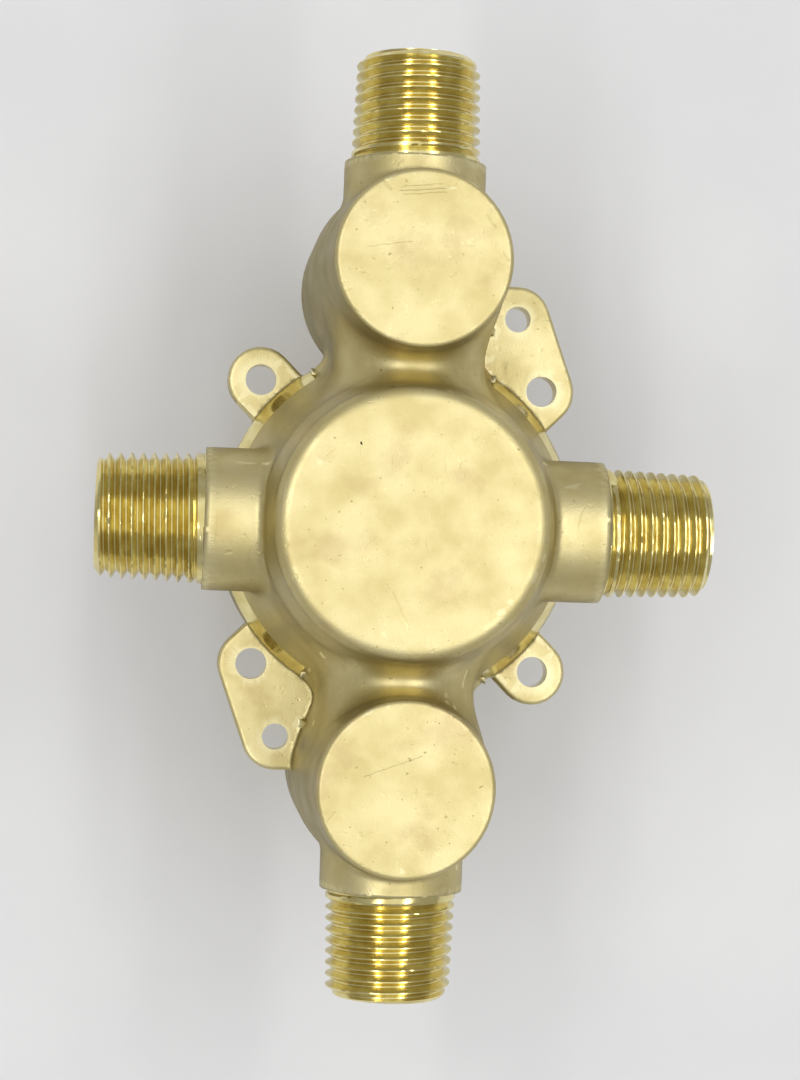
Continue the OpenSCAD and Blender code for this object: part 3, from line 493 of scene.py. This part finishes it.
def linear(hex_colour):
    """An sRGB hex colour as the linear values that a shader takes."""
    parts = [int(hex_colour[k:k + 2], 16) / 255 for k in (1, 3, 5)]
    return [p / 12.92 if p <= 0.04045 else ((p + 0.055) / 1.055) ** 2.4 for p in parts] + [1]


def tinted(tree, share, under, over):
    """Lays one colour over another by a share."""
    return node(tree, "ShaderNodeMix", {"data_type": "RGBA"}, i0=share, i6=under, i7=over).outputs[2]


def stretch(tree, value, low, high, top=1.0):
    """Spreads the values between low and high over 0 to top, and holds them there beyond."""
    return node(tree, "ShaderNodeMapRange", Value=value, From_Min=low, From_Max=high, To_Max=top).outputs[0]


def cloud(tree, where, size, detail=3.0):
    """Drifting values whose patches are about that many millimetres wide."""
    return node(tree, "ShaderNodeTexNoise", Vector=where, Scale=1 / (size * MM), Detail=detail).outputs[0]


def surface(name, tones, metallic, roughness, patch, grain, depth, marks=None):
    """A finish whose colour drifts between two tones, with a fine grain of that size and depth in mm."""
    made = bpy.data.materials.new(name)
    made.use_nodes = True
    tree = made.node_tree
    shader = tree.nodes["Principled BSDF"]
    shader.inputs["Metallic"].default_value = metallic
    where = node(tree, "ShaderNodeTexCoord").outputs["Object"]
    drift = cloud(tree, where, patch, 5.0)
    colour = tinted(tree, stretch(tree, drift, 0.36, 0.64), linear(tones[0]), linear(tones[1]))
    height = cloud(tree, where, grain)
    if marks:
        colour, height = marks(tree, where, colour, height)
    rough = node(tree, "ShaderNodeMapRange", Value=drift, From_Min=0.3, From_Max=0.7,
                 To_Min=roughness * 1.15, To_Max=roughness * 0.85)
    bump = node(tree, "ShaderNodeBump", Height=height, Distance=depth * MM)
    tree.links.new(colour, shader.inputs["Base Color"])
    tree.links.new(rough.outputs[0], shader.inputs["Roughness"])
    tree.links.new(bump.outputs[0], shader.inputs["Normal"])
    return made


def struck(tree, spot, start, end, width):
    """Share of a nick's depth: one on the line from start to end, none beyond its width."""
    span = end - start
    off = node(tree, "ShaderNodeVectorMath", {"operation": "SUBTRACT"}, i0=spot, i1=start).outputs[0]
    dot = node(tree, "ShaderNodeVectorMath", {"operation": "DOT_PRODUCT"}, i0=off,
               i1=span / span.length_squared)
    share = maths(tree, "MULTIPLY", dot.outputs[1], 1, clamp=True)
    along = node(tree, "ShaderNodeVectorMath", {"operation": "SCALE"}, i0=span, Scale=share).outputs[0]
    gap = node(tree, "ShaderNodeVectorMath", {"operation": "DISTANCE"}, i0=off, i1=along).outputs[1]
    return stretch(tree, gap, width, 0.0)


def blasted_marks_and_painted_shade(tree, where, colour, height):
    """Bright worn rims, painted shade on walls and in hollows, stains, specks, dents and scratches."""
    bend = node(tree, "ShaderNodeNewGeometry").outputs["Pointiness"]
    lie = node(tree, "ShaderNodeSeparateXYZ", Vector=node(tree, "ShaderNodeTexCoord").outputs["Normal"])
    # painted shade: steep walls, whose normals point sideways, are tinted darker olive as if they lay in
    # shade
    painted_wall_shade = stretch(tree, lie.outputs["Z"], 0.85, 0.0, 0.85)
    colour = tinted(tree, painted_wall_shade, colour, linear("#7d7142"))
    # painted shade: concave hollows and creases, where pointiness is low, are tinted darker as if shade fell
    # there
    colour = tinted(tree, stretch(tree, bend, 0.49, 0.44, 0.7), colour, linear("#75683a"))
    stain = stretch(tree, cloud(tree, where, 9.0, 6.0), 0.56, 0.68, 0.35)
    colour = tinted(tree, stain, colour, linear("#c3a878"))
    speck = stretch(tree, cloud(tree, where, 0.9, 2.0), 0.70, 0.76, 0.6)
    colour = tinted(tree, speck, colour, linear("#8d7c4b"))
    colour = tinted(tree, stretch(tree, bend, 0.515, 0.57, 0.6), colour, linear("#f6edbe"))
    dent = stretch(tree, cloud(tree, where, 1.6, 4.0), 0.62, 0.78, 2.0)
    height = maths(tree, "SUBTRACT", height, dent)
    for size, kept, turned in ((11.0, 9.0, 0.5), (8.0, 6.0, 2.2)):
        drawn_out = node(tree, "ShaderNodeMapping", Vector=where, Rotation=(0, 0, turned),
                         Scale=(1, 0.25, 1), Location=(size * MM, kept * MM, 0)).outputs[0]
        off_line = maths(tree, "ABSOLUTE", maths(tree, "SUBTRACT", cloud(tree, drawn_out, size, 1.0), 0.5))
        line = stretch(tree, off_line, 0.0022, 0.0)
        scratch = maths(tree, "MULTIPLY", line, stretch(tree, cloud(tree, where, kept, 1.0), 0.58, 0.63))
        height = maths(tree, "SUBTRACT", height, maths(tree, "MULTIPLY", scratch, 0.5))
        colour = tinted(tree, maths(tree, "MULTIPLY", scratch, 0.15), colour, linear("#8f7f48"))
    unsteady = node(tree, "ShaderNodeTexNoise", Vector=where, Scale=1 / (1.5 * MM)).outputs[1]
    spot = node(tree, "ShaderNodeVectorMath", {"operation": "MULTIPLY_ADD"}, i0=unsteady,
                i1=(0.5 * MM, 0.5 * MM, 0), i2=where).outputs[0]
    spot = node(tree, "ShaderNodeVectorMath", {"operation": "MULTIPLY"}, i0=spot, i1=(1, 1, 0)).outputs[0]
    for start, end, width, deep in NICKS:
        nick = struck(tree, spot, Vector((*start, 0)) * MM, Vector((*end, 0)) * MM, width * MM)
        nick = maths(tree, "MULTIPLY", nick, stretch(tree, lie.outputs["Z"], 0.5, 0.9))
        height = maths(tree, "SUBTRACT", height, maths(tree, "MULTIPLY", nick, deep))
        colour = tinted(tree, maths(tree, "MULTIPLY", nick, 0.3), colour, linear("#b7a568"))
    return colour, height


def painted_thread_shade_and_highlight(tree, where, colour, height):
    """Painted shade darkening the roots and painted highlight brightening the crests."""
    bend = node(tree, "ShaderNodeNewGeometry").outputs["Pointiness"]
    # painted shade: the thread's concave roots are tinted darker as if shade fell between the crests
    colour = tinted(tree, stretch(tree, bend, 0.48, 0.40, 0.5), colour, linear("#a58f52"))
    # painted highlight: the thread's convex crests are tinted pale as if they caught the light
    colour = tinted(tree, stretch(tree, bend, 0.54, 0.62, 0.7), colour, linear("#f8eebb"))
    return colour, height


def speckle(tree, where, colour, height):
    """Fibres and filler that show as small darker flecks."""
    fleck = stretch(tree, cloud(tree, where, 0.5, 4.0), 0.55, 0.7, 0.5)
    return tinted(tree, fleck, colour, linear("#4a2a20")), height


# Brass forged hot and blasted with beads: pale, matt, finely dimpled, with darker olive shade painted on its
# walls
forged_brass = surface("blasted_forged_brass", ("#dccd92", "#ebdda6"), 1.0, 0.48, 7.0, 0.35, 0.03,
                       blasted_marks_and_painted_shade)
# Brass turned and threaded: yellower and shiny, with faint tool lines that a fine grain stands for
cut_brass = surface("turned_brass", ("#dccb86", "#efe3a6"), 1.0, 0.2, 3.0, 0.3, 0.004, painted_thread_shade_and_highlight)
# Stainless steel, ground: cool grey with a dull shine
ground_steel = surface("ground_stainless_steel", ("#a9adb0", "#c3c6c8"), 1.0, 0.3, 4.0, 0.25, 0.003)
# Alumina, fired and lapped: warm white, close to a polish
lapped_alumina = surface("lapped_alumina", ("#e4dfd4", "#efebe2"), 0.0, 0.18, 3.0, 0.2, 0.001)
# Nitrile rubber, moulded: black with a soft sheen
moulded_rubber = surface("moulded_nitrile_rubber", ("#1c1d1e", "#29292a"), 0.0, 0.55, 2.0, 0.2, 0.006)
# Acetal, moulded: dense, faintly waxy plastic with a fine spark-eroded grain
white_acetal = surface("moulded_white_acetal", ("#d8d6cd", "#e3e1d9"), 0.0, 0.38, 8.0, 0.3, 0.008)
black_acetal = surface("moulded_black_acetal", ("#26272a", "#323336"), 0.0, 0.4, 8.0, 0.3, 0.008)
red_acetal = surface("moulded_red_acetal", ("#97251f", "#a93129"), 0.0, 0.38, 8.0, 0.3, 0.008)
# Vulcanised fibre, punched from sheet: dull red brown with darker flecks
red_fibre = surface("punched_red_fibre", ("#7c3d2b", "#93503a"), 0.0, 0.75, 2.5, 0.25, 0.02, speckle)

FINISHES = {"forged_brass": forged_brass, "machined_brass": cut_brass, "stainless_steel": ground_steel,
            "alumina": lapped_alumina, "nitrile_rubber": moulded_rubber, "white_acetal": white_acetal,
            "black_acetal": black_acetal, "red_acetal": red_acetal, "red_fibre": red_fibre}
for part in frame["record"]["subparts"]:
    shown = frame["nodes"][part["node"]]
    for place in shown.material_slots:
        place.material = FINISHES[part["material_slot"]]

body_mesh = forged_body()
body = bpy.data.objects.new("forged_body", body_mesh)
bpy.context.scene.collection.objects.link(body)
body_mesh.shade_smooth()
body_mesh.set_sharp_from_angle(angle=math.radians(32))
body_mesh.materials.append(forged_brass)
body_mesh.materials.append(cut_brass)
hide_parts("valve_body")
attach(body, "valve")

threads = grown("port_threads", thread_tree(cut_brass))
threads.data.shade_smooth()
threads.data.set_sharp_from_angle(angle=math.radians(30))
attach(threads, "valve")

FLOOR_HALF = 1.5
floor_mesh = bpy.data.meshes.new("floor")
corners = [(-FLOOR_HALF, -FLOOR_HALF, 0), (FLOOR_HALF, -FLOOR_HALF, 0),
           (FLOOR_HALF, FLOOR_HALF, 0), (-FLOOR_HALF, FLOOR_HALF, 0)]
floor_mesh.from_pydata(corners, [], [(0, 1, 2, 3)])
floor_mesh.materials.append(surface("pale_paper", ("#ececed", "#f1f1f1"), 0.0, 0.8, 60.0, 0.8, 0.01))
floor = bpy.data.objects.new("floor", floor_mesh)
bpy.context.scene.collection.objects.link(floor)
floor.location.z = cad_box[0][2] - 0.2 * MM

camera_data = bpy.data.cameras.new("camera")
camera_data.lens = 74.97
camera = bpy.data.objects.new("camera", camera_data)
bpy.context.scene.collection.objects.link(camera)
camera.location = Vector((-37.9, -7.9, 378.3)) * MM
camera.rotation_euler = [math.radians(a) for a in (0.65, -5.83, 2.01)]
bpy.context.scene.camera = camera


def lamp(name, width, length, place, power):
    """A rectangular lamp that faces the valve."""
    data = bpy.data.lights.new(name, "AREA")
    data.shape = "RECTANGLE"
    data.size, data.size_y = width, length
    data.energy = power
    made = bpy.data.objects.new(name, data)
    made.location = place
    made.rotation_euler = (0, math.atan2(place[0], place[2]), 0)
    bpy.context.scene.collection.objects.link(made)


SKY_LIGHT = 0.38       # what the surroundings give the valve
SKY_SEEN = 0.8         # and how bright they look beyond the floor's edge
# A wide soft lamp overhead and two long strips beside it, which draw the bright lines on the threads
lamp("overhead", 1.3, 1.3, (0, 0, 0.95), 2.7)
for side in (1, -1):
    lamp("strip", 0.07, 1.1, (side * 0.36, 0, 0.78), 1.9)

bpy.context.scene.view_settings.view_transform = "Standard"
world = bpy.data.worlds.new("studio")
bpy.context.scene.world = world
world.use_nodes = True
sky = world.node_tree.nodes["Background"]
sky.inputs["Color"].default_value = (1, 1, 1, 1)
seen = node(world.node_tree, "ShaderNodeLightPath").outputs["Is Camera Ray"]
plain = maths(world.node_tree, "MULTIPLY", seen, SKY_SEEN - SKY_LIGHT)
world.node_tree.links.new(maths(world.node_tree, "ADD", plain, SKY_LIGHT), sky.inputs["Strength"])
